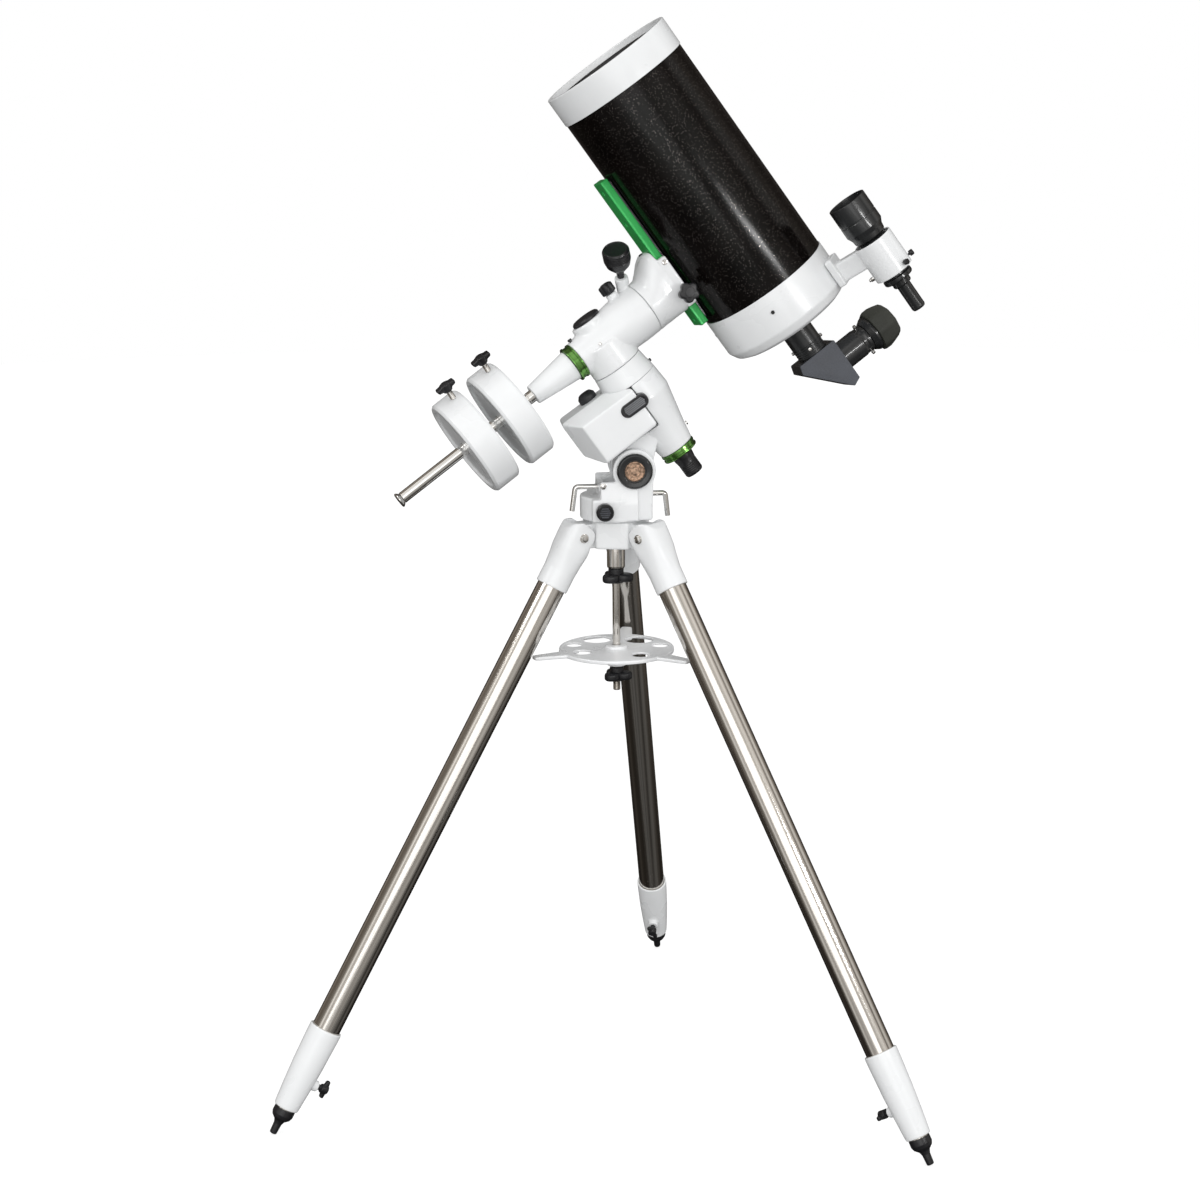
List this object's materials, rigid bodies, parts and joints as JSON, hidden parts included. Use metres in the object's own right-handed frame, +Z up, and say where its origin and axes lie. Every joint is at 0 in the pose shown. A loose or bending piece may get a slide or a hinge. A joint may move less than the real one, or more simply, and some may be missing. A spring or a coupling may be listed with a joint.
{
  "type": "telescope on tripod",
  "caption": "Catadioptric telescope on a white equatorial mount with counterweights, on a steel tripod with a round accessory tray.",
  "frame": {"origin": "on the ground, at the middle of the object's outer box", "axes": "+Z up; the two front legs are towards -Y and the rear leg towards +Y; the polar axis rises towards -X"},
  "size_m": [1.0118, 0.8812, 1.6718],
  "materials": {
    "white_paint": "smooth white gloss enamel on castings and weights",
    "polished_steel": "polished steel tube",
    "chrome": "bright plating",
    "black_plastic": "moulded black plastic",
    "black_metal": "satin black anodised aluminium",
    "grey_plastic": "hammered dark grey side plates",
    "badge_bronze": "plain bronze disc in a black and bright surround",
    "tube_black": "gloss black with fine metallic flake",
    "green_anodised": "green anodised aluminium",
    "eyecup_rubber": "dull dark rubber",
    "tray_silver": "satin silver casting",
    "lens_glass": "coated glass",
    "mirror_coating": "front-silvered glass"
  },
  "bodies": {
    "tripod": {"tripod_hub": "white_paint", "center_rod": "polished_steel"},
    "leg_left": {"leg_cap_left": "white_paint", "leg_tube_left": "polished_steel", "leg_clamp_left": "white_paint"},
    "leg_left_lower": {"leg_inner_tube_left": "polished_steel", "leg_foot_left": "black_plastic"},
    "leg_left_screw": {"leg_screw_left": "black_plastic"},
    "leg_right": {"leg_cap_right": "white_paint", "leg_tube_right": "polished_steel", "leg_clamp_right": "white_paint"},
    "leg_right_lower": {"leg_inner_tube_right": "polished_steel", "leg_foot_right": "black_plastic"},
    "leg_right_screw": {"leg_screw_right": "black_plastic"},
    "leg_rear": {"leg_cap_rear": "white_paint", "leg_tube_rear": "polished_steel", "leg_clamp_rear": "white_paint"},
    "leg_rear_lower": {"leg_inner_tube_rear": "polished_steel", "leg_foot_rear": "black_plastic"},
    "leg_rear_screw": {"leg_screw_rear": "black_plastic"},
    "mount_knob": {"mount_lock_knob": "black_plastic"},
    "tray": {"accessory_tray": "tray_silver"},
    "tray_nut": {"tray_knob": "black_plastic"},
    "azimuth_head": {"azimuth_base": "white_paint", "altitude_badge": "badge_bronze"},
    "azimuth_screw_near": {"azimuth_knob_near": "black_plastic"},
    "azimuth_screw_far": {"azimuth_knob_far": "black_plastic"},
    "altitude_screw_north": {"altitude_bolt_north": "chrome"},
    "altitude_screw_south": {"altitude_bolt_south": "chrome"},
    "polar_housing": {"ra_housing": "white_paint", "motor_cover": "white_paint", "ra_ring": "green_anodised"},
    "polar_cap": {"polar_scope_cap": "black_plastic"},
    "ra_axis": {"ra_head": "white_paint", "dec_housing": "white_paint", "dec_ring": "green_anodised"},
    "dec_clutch": {"dec_clutch_knob": "black_plastic"},
    "dec_worm": {"dec_slow_motion_knob": "black_plastic"},
    "dec_axis": {"saddle": "white_paint", "shaft_cone": "white_paint", "counterweight_shaft": "chrome", "toe_saver": "chrome"},
    "weight_inner": {"counterweight_inner": "white_paint"},
    "weight_inner_screw": {"weight_screw_inner": "black_plastic"},
    "weight_outer": {"counterweight_outer": "white_paint"},
    "weight_outer_screw": {"weight_screw_outer": "black_plastic"},
    "saddle_clamp": {"saddle_clamp_knob": "black_plastic"},
    "telescope": {"dovetail_bar": "green_anodised", "optical_tube": "tube_black", "front_ring": "white_paint", "corrector_lens": "lens_glass", "rear_cell": "white_paint", "visual_back": "black_metal", "finder_bracket": "white_paint"},
    "mirror": {"primary_mirror": "mirror_coating"},
    "focuser": {"focus_knob": "black_plastic"},
    "diagonal": {"star_diagonal": "grey_plastic"},
    "eyepiece_unit": {"eyepiece": "black_metal", "eyecup": "eyecup_rubber"},
    "finder": {"finder_scope": "black_metal"}
  },
  "joints": [
    {"name": "leg_left_fold", "type": "hinge", "parent": "tripod", "child": "leg_left", "pos_m": [-0.05543, -0.17489, 0.89631], "axis": [0.5, -0.866, 0], "range_deg": [0, 20]},
    {"name": "leg_left_extend", "type": "slide", "parent": "leg_left", "child": "leg_left_lower", "axis": [-0.433, -0.25, -0.866], "range_m": [0, 0.42]},
    {"name": "leg_left_screw_turn", "type": "hinge", "parent": "leg_left", "child": "leg_left_screw", "pos_m": [-0.42914, -0.39066, 0.05888], "axis": [-0.75, -0.433, 0.5], "range_deg": [0, 270]},
    {"name": "leg_right_fold", "type": "hinge", "parent": "tripod", "child": "leg_right", "pos_m": [0.05543, -0.17489, 0.89631], "axis": [0.5, 0.866, 0], "range_deg": [0, 20]},
    {"name": "leg_right_extend", "type": "slide", "parent": "leg_right", "child": "leg_right_lower", "axis": [0.433, -0.25, -0.866], "range_m": [0, 0.42]},
    {"name": "leg_right_screw_turn", "type": "hinge", "parent": "leg_right", "child": "leg_right_screw", "pos_m": [0.42914, -0.39066, 0.05888], "axis": [0.75, -0.433, 0.5], "range_deg": [0, 270]},
    {"name": "leg_rear_fold", "type": "hinge", "parent": "tripod", "child": "leg_rear", "pos_m": [0, -0.07889, 0.89631], "axis": [-1, 0, 0], "range_deg": [0, 20]},
    {"name": "leg_rear_extend", "type": "slide", "parent": "leg_rear", "child": "leg_rear_lower", "axis": [0, 0.5, -0.866], "range_m": [0, 0.42]},
    {"name": "leg_rear_screw_turn", "type": "hinge", "parent": "leg_rear", "child": "leg_rear_screw", "pos_m": [0, 0.35264, 0.05888], "axis": [0, 0.866, 0.5], "range_deg": [0, 270]},
    {"name": "mount_knob_turn", "type": "hinge", "parent": "tripod", "child": "mount_knob", "pos_m": [0, -0.14289, 0.82731], "axis": [0, 0, 1], "range_deg": [0, 270]},
    {"name": "tray_slide", "type": "slide", "parent": "tripod", "child": "tray", "axis": [0, 0, 1], "range_m": [-0.4, 0]},
    {"name": "tray_knob_turn", "type": "hinge", "parent": "tray", "child": "tray_nut", "pos_m": [0, -0.14289, 0.67031], "axis": [0, 0, 1], "range_deg": [0, 270]},
    {"name": "azimuth_turn", "type": "hinge", "parent": "tripod", "child": "azimuth_head", "pos_m": [0, -0.14289, 0.92031], "axis": [0, 0, 1], "range_deg": [-10, 10]},
    {"name": "azimuth_knob_near_turn", "type": "hinge", "parent": "azimuth_head", "child": "azimuth_screw_near", "pos_m": [-0.00849, -0.20623, 0.93931], "axis": [0.2164, -0.9763, 0], "continuous": true},
    {"name": "azimuth_knob_far_turn", "type": "hinge", "parent": "azimuth_head", "child": "azimuth_screw_far", "pos_m": [-0.03447, -0.08908, 0.93931], "axis": [-0.2164, 0.9763, 0], "continuous": true},
    {"name": "altitude_bolt_north_turn", "type": "hinge", "parent": "azimuth_head", "child": "altitude_screw_north", "pos_m": [-0.06053, -0.15631, 0.96831], "axis": [-0.9763, -0.2164, 0], "range_deg": [0, 360]},
    {"name": "altitude_bolt_south_turn", "type": "hinge", "parent": "azimuth_head", "child": "altitude_screw_south", "pos_m": [0.07518, -0.12623, 0.95581], "axis": [0.9763, 0.2164, 0], "range_deg": [0, 360]},
    {"name": "altitude_tilt", "type": "hinge", "parent": "azimuth_head", "child": "polar_housing", "pos_m": [0.02441, -0.13748, 0.99931], "axis": [-0.2164, 0.9763, 0], "range_deg": [-24, 15]},
    {"name": "polar_cap_pull", "type": "slide", "parent": "polar_housing", "child": "polar_cap", "axis": [0.5669, 0.1257, -0.8141], "range_m": [0, 0.04]},
    {"name": "right_ascension_turn", "type": "hinge", "parent": "polar_housing", "child": "ra_axis", "pos_m": [-0.02089, -0.14752, 1.19031], "axis": [-0.5669, -0.1257, 0.8141], "range_deg": [-90, 90]},
    {"name": "dec_clutch_turn", "type": "hinge", "parent": "ra_axis", "child": "dec_clutch", "pos_m": [-0.01166, -0.13434, 1.27002], "axis": [-0.5669, -0.1257, 0.8141], "range_deg": [-90, 90]},
    {"name": "dec_slow_motion_turn", "type": "hinge", "parent": "ra_axis", "child": "dec_worm", "pos_m": [0.00675, -0.14427, 1.30968], "axis": [-0.0963, -0.5448, 0.833], "continuous": true},
    {"name": "declination_turn", "type": "hinge", "parent": "ra_axis", "child": "dec_axis", "pos_m": [-0.02089, -0.14752, 1.19031], "axis": [0.7389, 0.3593, 0.57], "range_deg": [-180, 180]},
    {"name": "weight_inner_slide", "type": "slide", "parent": "dec_axis", "child": "weight_inner", "axis": [0.7389, 0.3593, 0.57], "range_m": [-0.01, 0.01]},
    {"name": "weight_inner_screw_turn", "type": "hinge", "parent": "weight_inner", "child": "weight_inner_screw", "pos_m": [-0.18043, -0.24972, 1.16593], "axis": [-0.3893, -0.4629, 0.7963], "range_deg": [0, 270]},
    {"name": "weight_outer_slide", "type": "slide", "parent": "dec_axis", "child": "weight_outer", "axis": [0.7389, 0.3593, 0.57], "range_m": [-0.11, 0.01]},
    {"name": "weight_outer_screw_turn", "type": "hinge", "parent": "weight_outer", "child": "weight_outer_screw", "pos_m": [-0.22994, -0.27379, 1.12774], "axis": [-0.3893, -0.4629, 0.7963], "range_deg": [0, 270]},
    {"name": "saddle_knob_turn", "type": "hinge", "parent": "dec_axis", "child": "saddle_clamp", "pos_m": [0.11201, -0.1423, 1.26647], "axis": [0.3641, -0.9247, 0.1108], "range_deg": [0, 270]},
    {"name": "dovetail_slide", "type": "slide", "parent": "dec_axis", "child": "telescope", "axis": [-0.5669, -0.1257, 0.8141], "range_m": [-0.06, 0.03]},
    {"name": "mirror_focus", "type": "slide", "parent": "telescope", "child": "mirror", "axis": [-0.5669, -0.1257, 0.8141], "range_m": [-0.005, 0.005]},
    {"name": "focus_knob_turn", "type": "hinge", "parent": "telescope", "child": "focuser", "pos_m": [0.26358, 0.02153, 1.1971], "axis": [-0.5669, -0.1257, 0.8141], "range_deg": [-360, 360]},
    {"name": "diagonal_turn", "type": "hinge", "parent": "telescope", "child": "diagonal", "pos_m": [0.29541, -0.02643, 1.1615], "axis": [-0.5669, -0.1257, 0.8141], "continuous": true},
    {"name": "eyepiece_slide", "type": "slide", "parent": "diagonal", "child": "eyepiece_unit", "axis": [0.7389, 0.3593, 0.57], "range_m": [0, 0.03]},
    {"name": "finder_tilt", "type": "hinge", "parent": "telescope", "child": "finder", "pos_m": [0.40289, -0.08909, 1.31879], "axis": [-0.168, -0.9499, -0.2636], "range_deg": [-2, 2]}
  ],
  "couplings": [
    {"joint": "leg_right_fold", "follows": "leg_left_fold", "ratio": 1},
    {"joint": "leg_rear_fold", "follows": "leg_left_fold", "ratio": 1},
    {"joint": "tray_slide", "follows": "leg_left_fold", "m_per_rad": -1.14},
    {"joint": "focus_knob_turn", "follows": "mirror_focus", "rad_per_m": 1256}
  ]
}
